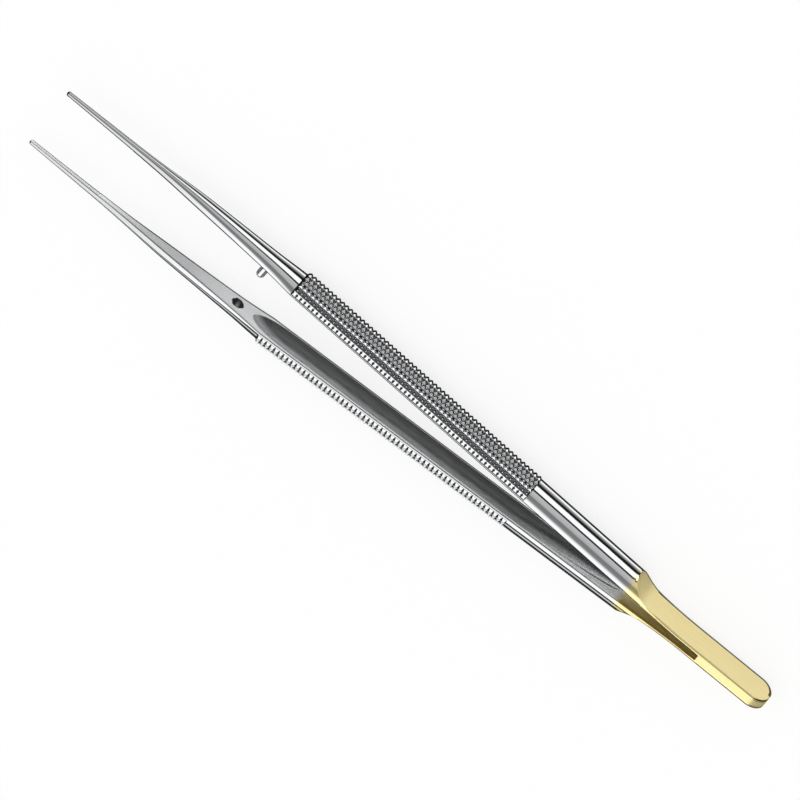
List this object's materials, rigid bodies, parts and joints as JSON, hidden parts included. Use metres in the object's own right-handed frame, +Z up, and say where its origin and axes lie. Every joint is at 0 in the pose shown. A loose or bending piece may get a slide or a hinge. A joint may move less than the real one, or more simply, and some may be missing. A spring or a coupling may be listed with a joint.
{
  "type": "atraumatic forceps",
  "caption": "Spring forceps with round knurled handles, a gilt tail, a guide pin and long slim atraumatic tips that close when the handles are squeezed.",
  "frame": {"origin": "middle of the bounding box on the plane that the forceps lie on", "axes": "+X from the tail to the tips, Y the way the jaws open with the guide pin's arm on -Y, +Z up from the side flats that it lies on"},
  "size_m": [0.1801, 0.0198, 0.0072],
  "materials": {
    "steel": "polished stainless steel, finely ground lengthwise",
    "pin_steel": "turned and polished stainless steel",
    "gilt_steel": "stainless steel with a satin gold plating"
  },
  "bodies": {
    "tail": {"tail_spacer": "gilt_steel", "pin_arm_tail": "gilt_steel", "hole_arm_tail": "gilt_steel"},
    "pin_arm": {"pin_arm": "steel", "guide_pin": "pin_steel"},
    "hole_arm": {"hole_arm": "steel"}
  },
  "joints": [
    {"name": "pin_arm_flex", "type": "hinge", "parent": "tail", "child": "pin_arm", "pos_m": [-0.068, -0.00097, 0.0036], "axis": [0, 0, 1], "range_deg": [0, 2.49], "stiffness_Nm_per_rad": 1.9},
    {"name": "hole_arm_flex", "type": "hinge", "parent": "tail", "child": "hole_arm", "pos_m": [-0.068, 0.00097, 0.0036], "axis": [0, 0, -1], "range_deg": [0, 2.49], "stiffness_Nm_per_rad": 1.9}
  ]
}
